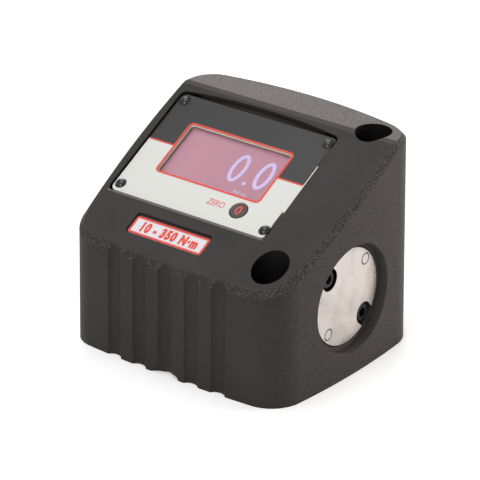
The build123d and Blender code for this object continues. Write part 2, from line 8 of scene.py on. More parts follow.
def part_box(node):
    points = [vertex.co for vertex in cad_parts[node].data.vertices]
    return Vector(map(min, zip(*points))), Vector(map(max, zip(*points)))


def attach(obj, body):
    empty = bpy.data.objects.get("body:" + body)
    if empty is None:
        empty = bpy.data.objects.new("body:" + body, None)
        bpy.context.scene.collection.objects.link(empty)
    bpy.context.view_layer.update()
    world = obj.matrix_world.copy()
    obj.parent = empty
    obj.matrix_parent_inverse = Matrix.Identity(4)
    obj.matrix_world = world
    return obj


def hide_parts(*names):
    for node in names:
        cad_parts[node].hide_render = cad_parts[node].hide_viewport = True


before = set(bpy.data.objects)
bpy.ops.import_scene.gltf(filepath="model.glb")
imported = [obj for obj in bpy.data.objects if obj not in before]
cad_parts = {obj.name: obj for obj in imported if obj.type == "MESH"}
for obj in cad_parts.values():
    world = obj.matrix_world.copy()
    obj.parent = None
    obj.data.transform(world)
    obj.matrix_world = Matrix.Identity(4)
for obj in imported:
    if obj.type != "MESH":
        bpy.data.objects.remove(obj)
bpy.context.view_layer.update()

bl_info = {
    "name": "Torque Tester Looks",
    "version": (1, 0, 0),
    "blender": (4, 5, 0),
    "location": "3D View > Sidebar > Torque Tester",
    "description": "Finishes, prints and stage for a bench torque wrench tester",
    "category": "Object",
}

MM = 0.001

# The slope of the housing: its foot, its angle, and the directions across it, up it and out of it
SLOPE_FOOT = Vector((0, -65.77, 63.2)) * MM
SLOPE_ANGLE = radians(28.3)
ACROSS = Vector((1, 0, 0))
UP_SLOPE = Vector((0, cos(SLOPE_ANGLE), sin(SLOPE_ANGLE)))
OUT = Vector((0, -sin(SLOPE_ANGLE), cos(SLOPE_ANGLE)))

# Depths below the slope of the faces that carry print
PANEL_DEPTH = 1.2 * MM
DISPLAY_DEPTH = 5.0 * MM
LABEL_DEPTH = 0.8 * MM
KEY_DEPTH = 1.0 * MM

# Thickness of printed words and figures, and how far their middle stands above the panel or the key
PRINT_THICKNESS = 0.06 * MM
PRINT_LIFT = 0.02 * MM

# Printed rings: steps round an oval and a corner, softened share of the height, and the angle it starts at
OVAL_STEPS = 64
CORNER_STEPS = 8
SOFT_SHARE = 0.35
RING_SHARP = radians(50)

# Bolt wells: the places of their axes, and the radius within which painted shade covers the deep bore, with
# half its soft edge
WELLS = (Vector((52.85, -47.45, 0)) * MM, Vector((52.85, 42.55, 0)) * MM)
WELL_REACH = 10.07 * MM
WELL_EDGE = 0.03 * MM

# Places round the shaft of the flange's dowels and screws, in degrees
DOWEL_ANGLES = (45, 225)
SCREW_ANGLES = (135, 315)

# Directions that count in the distance from an axis along X, Y or Z
ROUND_X = (0, 1, 1)
ROUND_Y = (1, 0, 1)
ROUND_Z = (1, 1, 0)

# Kinds of face on the housing: how far up or back a normal points where each mask starts and is full
SIDES_UP = (0.3, 0.1)
EDGE_UP = (0.2, 0.4)
EDGE_NOT_SLOPE = (0.84, 0.76)
CREASE_UP = (0.91, 0.94)
FLAT_UP = (0.975, 0.99)
FRONT_BACK = (-0.5, -0.85)

# Parts of a noise's range over which a shade or a roughness changes
CLOUD = (0.3, 0.7)
WIDE_CLOUD = (0.25, 0.75)
STEEL_PATCHES = (0.42, 0.6)

# Parts of the coat's height over which its roughness changes, and over which painted grazing light makes its
# raised grain paler on the sides
COAT_HEIGHT = (0.0, 0.7)
GRAZING_HIGHLIGHT_HEIGHT = (0.1, 0.45)

# How square a normal stands to the flange or the panel, where their sides and cut edges start and are full
FLANGE_SIDE = (0.96, 0.85)
CUT_EDGE = (0.7, 0.5)

# Half the width of a mask's soft edge, on fine print and on the rest
FINE_EDGE = 0.05 * MM
SOFT_EDGE = 0.1 * MM

# Spacing of turned marks
TURNED_PITCH = 0.12 * MM

# Inner pieces: material, setting that holds its colour, roughness, size of its grain, and its CAD nodes
INNER_FINISHES = (
    ("seal_rubber", "black", 0.6, 0.4 * MM, ("drive_seal",)),
    ("moulded_black", "black", 0.4, 0.4 * MM, ("display_frame", "zero_switch")),
    ("diffuser", "diffuser", 0.5, 0.4 * MM, ("backlight",)),
    ("solder_mask", "solder_mask", 0.3, 1.2 * MM, ("circuit_board",)),
    ("plunger_grey", "plunger", 0.4, 0.4 * MM, ("switch_plunger",)),
    ("connector_ivory", "connector", 0.4, 0.4 * MM, ("cable_connector",)),
    ("cable_sheath", "sheath", 0.5, 0.4 * MM, ("gauge_cable",)),
    ("gauge_foil", "foil", 0.35, 0.8 * MM, ("strain_gauges",)),
)

# Lamps: name, place, width, power in watts and tint
LAMPS = (
    ("rear_lamp", (-0.95, 1.25, 0.75), 1.0, 15.0, (1.0, 0.9, 0.87)),
    ("side_lamp", (1.1, 1.1, 0.4), 0.6, 16.5, (1.0, 0.9, 0.88)),
    ("front_lamp", (0.15, -1.3, 0.85), 0.55, 8.0, (1.0, 1.0, 1.0)),
    ("top_lamp", (-0.2, -0.1, 1.6), 0.9, 11.0, (1.0, 1.0, 1.0)),
)


def middle(node):
    """Middle of a CAD node's box."""
    low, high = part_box(node)
    return (low + high) / 2


SHAFT_MIDDLE = middle("torque_shaft")
INLET_MIDDLE = middle("inlet_nut")


def length(name, description, millimetres):
    """Setting for a length, given in millimetres."""
    return FloatProperty(
        name=name, description=description, default=millimetres * MM, unit="LENGTH", precision=5
    )


def colour(name, description, value):
    """Setting for a colour."""
    return FloatVectorProperty(
        name=name, description=description, default=value, subtype="COLOR", size=3, min=0, max=1
    )


def share(name, description, value):
    """Setting between nothing and all."""
    return FloatProperty(name=name, description=description, default=value, subtype="FACTOR", min=0, max=1)


class HousingSettings(bpy.types.PropertyGroup):
    coat: colour("Coat", "Colour of the powder coat", (0.031, 0.0275, 0.0255))
    fleck: colour("Fleck", "Colour of the coat where its grain catches light", (0.15, 0.142, 0.135))
    # Painted shade inside the deep bolt wells and in the gap round the panel
    bore_shade: colour("Bore", "Colour inside the bolt wells and in the gap round the panel", (0.001, 0.001, 0.001))
    # Painted highlight along the recess's edge in front of the panel, and where it lies
    lip_highlight: colour("Lip", "Colour of the thin ridge in front of the panel", (0.2, 0.19, 0.185))
    lip_up: length("Lip place", "Height of the ridge up the slope", 34.7)
    lip_width: length("Lip width", "Width of the ridge", 0.6)
    lip_depth: length("Lip depth", "Depth below the slope to which the ridge is bright", 0.225)
    # Where the painted shade in the gap round the panel lies
    gap_depth: length("Gap depth", "Depth below which the gap round the panel is black", 1.0)
    gap_floor: length("Gap floor", "Depth down to which the gap round the panel is black", 11.5)
    gap_up: length("Gap place", "Height up the slope to which the gap above the panel is black", 111.3)
    gap_beside: length("Gap beside", "Reach of the black gap beside the panel", 2.0)
    # Painted light in the recess round the flange: its radius, and how much paler than the coat it is
    recess_radius: length("Recess radius", "Radius of the recess round the flange", 30.65)
    recess_painted_light: FloatProperty(name="Recess lift", description="How much paler the recess is", default=1.9)
    grain: length("Grain", "Size of the coat's grain", 0.6)
    relief: length("Relief", "Height of the coat's grain", 0.1)
    roughness: share("Roughness", "Roughness of the coat", 0.5)


class PanelSettings(bpy.types.PropertyGroup):
    dark: colour("Upper part", "Colour of the panel above its line", (0.0215, 0.0208, 0.0205))
    pale: colour("Lower part", "Colour of the panel below its line", (0.76, 0.765, 0.73))
    red: colour("Red", "Colour of the lines and the words", (0.72, 0.055, 0.035))
    cut: colour("Cut edge", "Colour of the panel's cut edges", (0.82, 0.77, 0.64))
    fixing: colour("Fixings", "Colour of the gloss paint on the panel's fixings", (0.008, 0.008, 0.008))
    gasket: colour("Gasket", "Colour of the foam gasket under the panel", (0.03, 0.03, 0.03))
    split: length("Split", "Height of the top of the line up the slope", 75.3)
    line: length("Line", "Width of the line across the panel", 1.0)
    margin: length("Margin", "Width of the bare edge on the panel's right", 0.55)
    rim: colour("Key rim", "Colour of the printed rim round the key", (0.16, 0.035, 0.03))
    rim_radius: length("Key rim radius", "Outer radius of the printed rim round the key", 5.45)
    left: length("Left", "Place of the panel's left edge across the slope", -66.0)
    right: length("Right", "Place of the panel's right edge across the slope", 38.4)
    frame_x: length("Frame place across", "Middle of the red frame across the slope", -13.9)
    frame_up: length("Frame place up", "Middle of the red frame up the slope", 74.0)
    frame_width: length("Frame width", "Width of the red frame", 70.6)
    frame_length: length("Frame length", "Length of the red frame", 36.9)
    frame_corner: length("Frame corner", "Radius of the red frame's corners", 2.9)
    frame_band: length("Frame band", "Width of the red frame's band", 1.2)
    frame_rise: length("Frame rise", "Height of the red frame above the panel", 0.12)


class DisplaySettings(bpy.types.PropertyGroup):
    pane_dark: colour("Window, darker", "Darker tint of the window", (0.98, 0.9, 0.93))
    pane_pale: colour("Window, paler", "Paler tint of the window", (1.0, 0.94, 0.96))
    ground: colour("Ground", "Colour of the display", (0.365, 0.175, 0.23))
    shade_reach: length("Shade reach", "Distance from the middle to the darkest part of the display", 36.0)
    digit: colour("Digit", "Colour of the digits", (0.5, 0.47, 0.75))
    glow: FloatProperty(name="Glow", description="Strength of the display's own light", default=0.3, min=0)
    digit_x: FloatVectorProperty(
        name="Digit places", description="Middles of the two digits across the slope",
        default=(-5.9 * MM, 11.1 * MM), size=2, unit="LENGTH", precision=5
    )
    digit_up: length("Digit height", "Middle of the digits up the slope", 75.2)
    digit_width: length("Digit width", "Width of a digit", 9.4)
    digit_length: length("Digit length", "Length of a digit", 19.4)
    digit_stroke: length("Digit stroke", "Width of a digit's stroke", 2.15)
    point_x: length("Point place", "Middle of the point across the slope", 2.8)
    point_up: length("Point height", "Middle of the point up the slope", 66.8)
    point_size: length("Point size", "Size of the point", 2.3)
    unit: StringProperty(name="Unit", description="Unit on the display", default="N·m")
    unit_x: length("Unit place", "Middle of the unit across the slope", 4.4)
    unit_up: length("Unit height", "Middle of the unit up the slope", 60.4)
    unit_width: length("Unit width", "Width of the unit", 8.2)
    unit_length: length("Unit length", "Height of the unit's letters", 2.4)


class KeySettings(bpy.types.PropertyGroup):
    cap: colour("Cap", "Colour of the key", (0.045, 0.034, 0.034))
    x: length("Key place", "Middle of the key across the slope", 13.4)
    up: length("Key height", "Middle of the key up the slope", 48.0)
    figure_width: length("Figure width", "Width of the figure on the key", 3.5)
    figure_length: length("Figure length", "Height of the figure on the key", 5.6)
    word: StringProperty(name="Word", description="Word beside the key", default="ZERO")
    word_x: length("Word place", "Middle of the word across the slope", -1.7)
    word_up: length("Word height", "Middle of the word up the slope", 48.1)
    word_width: length("Word width", "Width of the word", 11.2)
    word_length: length("Word length", "Height of the word's letters", 3.9)


class LabelSettings(bpy.types.PropertyGroup):
    ground: colour("Ground", "Colour of the label", (0.75, 0.73, 0.76))
    x: length("Label place", "Middle of the label across the slope", -13.7)
    up: length("Label height", "Middle of the label up the slope", 19.9)
    width: length("Width", "Width of the label", 48.96)
    length: length("Length", "Length of the label", 11.36)
    border: length("Border", "Width of the red border", 1.3)
    border_rise: length("Border rise", "Height of the red border above the label", 0.1)
    corner: length("Corner", "Radius of the label's corners", 1.6)
    measuring_range: StringProperty(name="Range", description="Measuring range", default="10 - 350 N·m")
    range_x: length("Range place", "Middle of the measuring range across the slope", -13.0)
    range_width: length("Range width", "Width of the measuring range", 37.6)
    range_length: length("Range length", "Height of the measuring range", 6.7)


class MetalSettings(bpy.types.PropertyGroup):
    steel: colour("Steel", "Colour of the ground steel", (0.6, 0.56, 0.52))
    oxide: colour("Black oxide", "Colour of the blackened screws", (0.006, 0.0055, 0.0055))
    bronze: colour("Bronze", "Colour of the bush", (0.55, 0.36, 0.16))
    brass: colour("Brass", "Colour of the board's pillars", (0.6, 0.45, 0.2))
    zinc: colour("Zinc", "Colour of plated screws", (0.6, 0.6, 0.58))
    # Painted shade in the gap round each dowel and in the notch round each of the flange's screws
    dowel_circle: length("Dowel circle", "Distance of the dowels from the shaft's axis", 22.75)
    dowel_rim: length("Dowel rim", "Radius of the dark line round a dowel", 3.2)
    dowel_line: length("Dowel line", "Width of that line", 0.6)
    screw_circle: length("Screw circle", "Distance of the flange's screws from the shaft's axis", 22.1)
    notch_radius: length("Notch radius", "Radius of the dark notch round a screw", 6.35)


class InnerSettings(bpy.types.PropertyGroup):
    black: colour("Black", "Colour of the seal, switch, inlet and display frame", (0.022, 0.022, 0.022))
    diffuser: colour("Diffuser", "Colour of the backlight", (0.78, 0.78, 0.76))
    solder_mask: colour("Solder mask", "Colour of the circuit board", (0.02, 0.16, 0.06))
    plunger: colour("Plunger", "Colour of the switch's plunger", (0.3, 0.3, 0.31))
    connector: colour("Connector", "Colour of the cable's connector", (0.75, 0.71, 0.6))
    sheath: colour("Sheath", "Colour of the gauge cable", (0.2, 0.2, 0.21))
    foil: colour("Foil", "Colour of the strain gauges", (0.5, 0.25, 0.05))
    pin: colour("Pin", "Colour of the inlet's pin", (0.75, 0.74, 0.7))
    pin_radius: length("Pin radius", "Radius of the inlet's pin", 1.15)


class ScrewSettings(bpy.types.PropertyGroup):
    head_radius: length("Head radius", "Radius of a base screw's head", 2.9)
    head_height: length("Head height", "Height of a base screw's head", 1.4)
    shank_radius: length("Shank radius", "Radius of a base screw's shank", 1.508)
    slot_length: length("Slot length", "Length of the cross recess's two slots", 3.625)
    slot_width: length("Slot width", "Width of the cross recess's two slots", 0.75)
    slot_depth: length("Slot depth", "Depth of the cross recess", 0.9)
    softening: length("Softening", "Width of a base screw's softened edges", 0.12)


class StageSettings(bpy.types.PropertyGroup):
    azimuth: FloatProperty(
        name="Azimuth", description="Camera angle round the object", default=radians(37.52), subtype="ANGLE"
    )
    elevation: FloatProperty(
        name="Elevation", description="Camera angle above the floor", default=radians(25.354), subtype="ANGLE"
    )
    roll: FloatProperty(name="Roll", description="Camera roll", default=radians(0.202), subtype="ANGLE")
    place: FloatVectorProperty(
        name="Place", description="Where the camera stands", default=(0.82485, -1.07835, 0.6987),
        subtype="TRANSLATION"
    )
    lens: FloatProperty(name="Lens", description="Focal length in millimetres", default=209.7)
    sensor: FloatProperty(name="Sensor", description="Width of the sensor in millimetres", default=36.0)
    far: FloatProperty(name="Far", description="Farthest that the camera sees", default=50.0, unit="LENGTH")
    floor: colour("Floor", "Colour of the floor", (0.9, 0.9, 0.9))
    floor_size: FloatProperty(name="Floor size", description="Width of the floor", default=8.0, unit="LENGTH")
    floor_glow: share("Floor glow", "Light that the camera sees the floor give off", 0.32)
    floor_gloss: share("Floor gloss", "Light that gloss and metal see the floor give off", 0.17)
    aim: FloatVectorProperty(
        name="Aim", description="Point that the lamps face", default=(0, 0, 0.06), subtype="TRANSLATION"
    )
    ambient: FloatProperty(name="Ambient", description="Strength of the light from all round", default=0.22)


def add_node(tree, kind, inputs=None, **settings):
    """Node with its settings, and its inputs linked or set."""
    made = tree.nodes.new(kind)
    for key, value in settings.items():
        setattr(made, key, value)
    for key, value in (inputs or {}).items():
        if isinstance(value, bpy.types.NodeSocket):
            tree.links.new(value, made.inputs[key])
        else:
            made.inputs[key].default_value = value
    return made


def maths(tree, operation, *values):
    """Result of a sum on sockets and numbers."""
    return add_node(tree, "ShaderNodeMath", dict(enumerate(values)), operation=operation).outputs[0]


def weighted(tree, masks, base=0.0, **weights):
    """A base plus the masks that are named, each times its weight."""
    total = base
    for name, weight in weights.items():
        total = maths(tree, "MULTIPLY_ADD", masks[name], weight, total)
    return total


def away(tree, point, centre):
    """Offset of a point from a centre."""
    return add_node(tree, "ShaderNodeVectorMath", {0: point, 1: centre}, operation="SUBTRACT").outputs[0]


def along(tree, vector, direction):
    """Distance of a point along a direction."""
    made = add_node(tree, "ShaderNodeVectorMath", {0: vector, 1: direction}, operation="DOT_PRODUCT")
    return made.outputs["Value"]


def round_axis(tree, point, centre, counted):
    """Distance of a point from an axis through a centre, with the directions that count in it."""
    inputs = {0: away(tree, point, centre), 1: counted}
    flat = add_node(tree, "ShaderNodeVectorMath", inputs, operation="MULTIPLY").outputs[0]
    return add_node(tree, "ShaderNodeVectorMath", {0: flat}, operation="LENGTH").outputs["Value"]


def ramp(tree, value, low, high, out_low=0.0, out_high=1.0):
    """Smooth step from one value to another."""
    inputs = {"Value": value, "From Min": low, "From Max": high, "To Min": out_low, "To Max": out_high}
    made = add_node(tree, "ShaderNodeMapRange", inputs, interpolation_type="SMOOTHSTEP")
    return made.outputs["Result"]


def within(tree, value, limit, soft):
    """Mask of where a value is below a limit, with a soft edge."""
    return ramp(tree, value, limit + soft, limit - soft)


def beyond(tree, value, limit, soft):
    """Mask of where a value is above a limit, with a soft edge."""
    return ramp(tree, value, limit - soft, limit + soft)


def mixed(tree, factor, first, second):
    """Blend of two colours."""
    made = add_node(tree, "ShaderNodeMix", data_type="RGBA")
    for index, value in ((0, factor), (6, first), (7, second)):
        if isinstance(value, bpy.types.NodeSocket):
            tree.links.new(value, made.inputs[index])
        else:
            made.inputs[index].default_value = value
    return made.outputs[2]


def solid(value, strength=1.0):
    """Colour with full opacity, made darker or paler by a strength."""
    return (*(min(1.0, strength * channel) for channel in value[:3]), 1.0)


def new_group(name, inputs, outputs):
    """Empty shader group with named sockets."""
    tree = bpy.data.node_groups.new(name, "ShaderNodeTree")
    for direction, sockets in (("INPUT", inputs), ("OUTPUT", outputs)):
        for label, kind in sockets:
            tree.interface.new_socket(name=label, in_out=direction, socket_type=f"NodeSocket{kind}")
    return tree, tree.nodes.new("NodeGroupInput").outputs, tree.nodes.new("NodeGroupOutput").inputs


def grain_group():
    """Grain of a coat: a height, a mask of its bright flecks, and a slow change of shade."""
    cell_weight, fleck_edge, spot, cloud_scale = 0.6, 0.15, (0.62, 0.3), 22.0
    inputs = [("Vector", "Vector"), ("Size", "Float"), ("Flecks", "Float")]
    outputs = [("Height", "Float"), ("Fleck", "Float"), ("Shade", "Float")]
    tree, given, result = new_group("coat_grain", inputs, outputs)
    point = given["Vector"]
    scale = maths(tree, "DIVIDE", 1.0, given["Size"])
    noise = {"Vector": point, "Scale": scale, "Detail": 2.0, "Roughness": 0.55}
    fine = add_node(tree, "ShaderNodeTexNoise", noise)
    cells = add_node(tree, "ShaderNodeTexVoronoi", {"Vector": point, "Scale": scale}).outputs
    groove = maths(tree, "MULTIPLY", cells["Distance"], cell_weight)
    height = maths(tree, "SUBTRACT", fine.outputs["Fac"], groove)
    chance = add_node(tree, "ShaderNodeSeparateColor", {0: cells["Color"]}).outputs[0]
    low = maths(tree, "SUBTRACT", 1.0, given["Flecks"])
    chosen = ramp(tree, chance, low, maths(tree, "ADD", low, fleck_edge))
    fleck = maths(tree, "MULTIPLY", chosen, ramp(tree, cells["Distance"], *spot))
    slow = add_node(tree, "ShaderNodeTexNoise", {"Vector": point, "Scale": cloud_scale, "Detail": 3.0})
    for label, value in (("Height", height), ("Fleck", fleck), ("Shade", slow.outputs["Fac"])):
        tree.links.new(value, result[label])
    return tree


def slope_group():
    """Distances from a centre across, up and below the slope, and in the slope's plane."""
    inputs = [("Vector", "Vector"), ("Centre", "Vector")]
    outputs = [("Across", "Float"), ("Up", "Float"), ("Depth", "Float"), ("Radius", "Float")]
    tree, given, result = new_group("slope_place", inputs, outputs)
    offset = away(tree, given["Vector"], given["Centre"])
    across, up, depth = (along(tree, offset, direction) for direction in (ACROSS, UP_SLOPE, -OUT))
    squares = maths(tree, "MULTIPLY_ADD", across, across, maths(tree, "MULTIPLY", up, up))
    radius = maths(tree, "SQRT", squares)
    for label, value in (("Across", across), ("Up", up), ("Depth", depth), ("Radius", radius)):
        tree.links.new(value, result[label])
    return tree


def turned_group():
    """Fine rings of a turned or ground face about an axis along X, and cloudy wear on it."""
    cloud_scale = 55.0
    inputs = [("Vector", "Vector"), ("Centre", "Vector"), ("Pitch", "Float")]
    tree, given, result = new_group("turned_marks", inputs, [("Rings", "Float"), ("Cloud", "Float")])
    point = given["Vector"]
    turns = maths(tree, "DIVIDE", round_axis(tree, point, given["Centre"], ROUND_X), given["Pitch"])
    noise = {"W": turns, "Scale": 1.0, "Detail": 2.0}
    rings = add_node(tree, "ShaderNodeTexNoise", noise, noise_dimensions="1D")
    cloud = add_node(tree, "ShaderNodeTexNoise", {"Vector": point, "Scale": cloud_scale, "Detail": 3.0})
    tree.links.new(rings.outputs["Fac"], result["Rings"])
    tree.links.new(cloud.outputs["Fac"], result["Cloud"])
    return tree


GROUP_MAKERS = {"coat_grain": grain_group, "slope_place": slope_group, "turned_marks": turned_group}


class Finish:
    """Material with its Principled shader and object coordinates."""

    def __init__(self, name, roughness=0.5, metallic=0.0, **inputs):
        self.material = bpy.data.materials.new(name)
        self.material.use_nodes = True
        self.tree = self.material.node_tree
        self.shader = self.tree.nodes["Principled BSDF"]
        self.place = self.tree.nodes.new("ShaderNodeTexCoord").outputs["Object"]
        self.set("Roughness", roughness)
        self.set("Metallic", metallic)
        for key, value in inputs.items():
            self.set(key.replace("_", " "), value)

    def set(self, key, value):
        """Links or sets a socket of the shader."""
        if isinstance(value, bpy.types.NodeSocket):
            self.tree.links.new(value, self.shader.inputs[key])
        else:
            self.shader.inputs[key].default_value = value

    def group(self, name, **inputs):
        """Outputs of a shared group, which is made on its first use."""
        shared = bpy.data.node_groups.get(name) or GROUP_MAKERS[name]()
        inputs["Vector"] = self.place
        return add_node(self.tree, "ShaderNodeGroup", inputs, node_tree=shared).outputs

    def grain(self, size, flecks=0.0):
        """Outputs of the shared grain."""
        return self.group("coat_grain", Size=size, Flecks=flecks)

    def marks(self, centre=SHAFT_MIDDLE):
        """Outputs of the shared turned marks."""
        return self.group("turned_marks", Centre=centre, Pitch=TURNED_PITCH)

    def slope(self, centre=SLOPE_FOOT):
        """Outputs of the shared distances on the slope."""
        return self.group("slope_place", Centre=centre)

    def beside_shaft(self, circle=0.0, angle=0.0):
        """Distance from an axis that lies parallel to the shaft, at a radius and an angle about it."""
        spoke = Vector((0, cos(radians(angle)), sin(radians(angle)))) * circle
        return round_axis(self.tree, self.place, SHAFT_MIDDLE + spoke, ROUND_X)

    def relief(self, height, distance):
        """Bump from a height."""
        made = add_node(self.tree, "ShaderNodeBump", {"Height": height, "Distance": distance})
        self.set("Normal", made.outputs["Normal"])


def moulded(name, value, roughness, size=0.4 * MM):
    """Moulded plastic, rubber or foam with a fine grain."""
    finish = Finish(name)
    tree = finish.tree
    grain = finish.grain(size)
    cloud = ramp(tree, grain["Shade"], *CLOUD)
    finish.set("Base Color", mixed(tree, cloud, solid(value, 0.8), solid(value)))
    finish.set("Roughness", ramp(tree, grain["Shade"], *WIDE_CLOUD, roughness - 0.06, roughness + 0.08))
    finish.relief(grain["Height"], distance=0.02 * MM)
    return finish.material


def turned(name, value, roughness, centre=SHAFT_MIDDLE):
    """Turned or ground metal."""
    finish = Finish(name, metallic=1.0)
    tree = finish.tree
    marks = finish.marks(centre)
    cloud = ramp(tree, marks["Cloud"], *CLOUD)
    finish.set("Base Color", mixed(tree, cloud, solid(value, 0.86), solid(value)))
    finish.set("Roughness", ramp(tree, marks["Cloud"], *WIDE_CLOUD, roughness - 0.07, roughness + 0.1))
    finish.relief(marks["Rings"], distance=0.002 * MM)
    return finish.material


def painted(name, value, size, relief, darkest=1.0, palest=1.0, **inputs):
    """Paint or ink, slightly uneven, made once for each name."""
    made = bpy.data.materials.get(name)
    if made:
        return made
    finish = Finish(name, **inputs)
    grain = finish.grain(size)
    finish.set("Base Color", mixed(finish.tree, grain["Shade"], solid(value, darkest), solid(value, palest)))
    finish.relief(grain["Height"], relief)
    return finish.material


def print_ink(name, value, roughness=0.38):
    """Printing ink."""
    return painted(name, value, size=0.3 * MM, relief=0.004 * MM, palest=1.12, roughness=roughness)


def dress(material, *nodes):
    """Gives CAD nodes a material."""
    for name in nodes:
        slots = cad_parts[name].material_slots
        if not slots:
            raise RuntimeError(f"{name} has no material slot")
        for slot in slots:
            slot.material = material


def slope_point(across, up, depth):
    """Point at distances across and up the slope, and at a depth below it."""
    return SLOPE_FOOT + ACROSS * across + UP_SLOPE * up - OUT * depth


def on_slope(across, up, depth):
    """Place on the slope, whose local X runs across it and whose local Y runs up it."""
    turn = Matrix((ACROSS, UP_SLOPE, OUT)).transposed().to_4x4()
    return Matrix.Translation(slope_point(across, up, depth)) @ turn


def clear_selection():
    """Nothing is selected or in edit mode."""
    if bpy.context.object and bpy.context.object.mode != "OBJECT":
        bpy.ops.object.mode_set(mode="OBJECT")
    bpy.ops.object.select_all(action="DESELECT")


def finish_piece(piece, name, place, material, body):
    """Names a piece, fixes its place in its mesh, and hands it to the frame."""
    piece.name = name
    piece.data.name = name
    piece.matrix_world = place
    bpy.ops.object.transform_apply(location=True, rotation=True, scale=True)
    piece.data.materials.clear()
    piece.data.materials.append(material)
    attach(piece, body)
    return piece


def close_mesh(piece):
    """Merges doubled points and turns the faces outwards."""
    bpy.context.view_layer.objects.active = piece
    bpy.ops.object.mode_set(mode="EDIT")
    bpy.ops.mesh.select_all(action="SELECT")
    bpy.ops.mesh.remove_doubles(threshold=0.001 * MM)
    bpy.ops.mesh.normals_make_consistent(inside=False)
    bpy.ops.object.mode_set(mode="OBJECT")


def apply_modifier(piece, kind, **settings):
    """Adds a modifier and applies it."""
    modifier = piece.modifiers.new(kind.title(), kind)
    for key, value in settings.items():
        setattr(modifier, key, value)
    bpy.ops.object.modifier_apply(modifier=modifier.name)


def words(name, text, width, height, place, material, body, slant=0.0, weight=0.0, spread=1.0):
    """Raised words, fitted to a width and a height."""
    clear_selection()
    bpy.ops.object.text_add()
    letters = bpy.context.object.data
    letters.body = text
    letters.shear = slant
    letters.offset = weight
    letters.space_character = spread
    letters.resolution_u = 5
    letters.extrude = 0.5  # any thickness, because the fit below sets it
    bpy.ops.object.convert(target="MESH")
    piece = bpy.context.object
    low = Vector(map(min, zip(*(v.co for v in piece.data.vertices))))
    high = Vector(map(max, zip(*(v.co for v in piece.data.vertices))))
    size = high - low
    fit = Matrix.Diagonal((width / size.x, height / size.y, PRINT_THICKNESS / size.z, 1.0))
    close_mesh(piece)
    finish_piece(piece, name, place @ fit @ Matrix.Translation(-(low + high) / 2), material, body)


def band(name, width, height, corner, thickness, rise, place, material, body):
    """Flat ring with softened edges and a given size outside, an oval where it has no corner radius."""
    clear_selection()
    if corner:
        bpy.ops.mesh.primitive_plane_add(size=1)
    else:
        bpy.ops.mesh.primitive_circle_add(vertices=OVAL_STEPS, radius=0.5, fill_type="NGON")
    piece = bpy.context.object
    piece.scale = (width, height, 1)
    bpy.ops.object.transform_apply(scale=True)
    bpy.ops.object.mode_set(mode="EDIT")
    bpy.ops.mesh.select_all(action="SELECT")
    if corner:
        bpy.ops.mesh.bevel(offset=corner, segments=CORNER_STEPS, affect="VERTICES")
    bpy.ops.mesh.select_all(action="SELECT")
    bpy.ops.mesh.inset(thickness=thickness, use_even_offset=True)
    bpy.ops.mesh.delete(type="FACE")
    bpy.ops.object.mode_set(mode="OBJECT")
    apply_modifier(piece, "SOLIDIFY", thickness=rise, offset=1.0)
    apply_modifier(piece, "BEVEL", width=SOFT_SHARE * rise, segments=2, angle_limit=RING_SHARP)
    close_mesh(piece)
    finish_piece(piece, name, place, material, body)


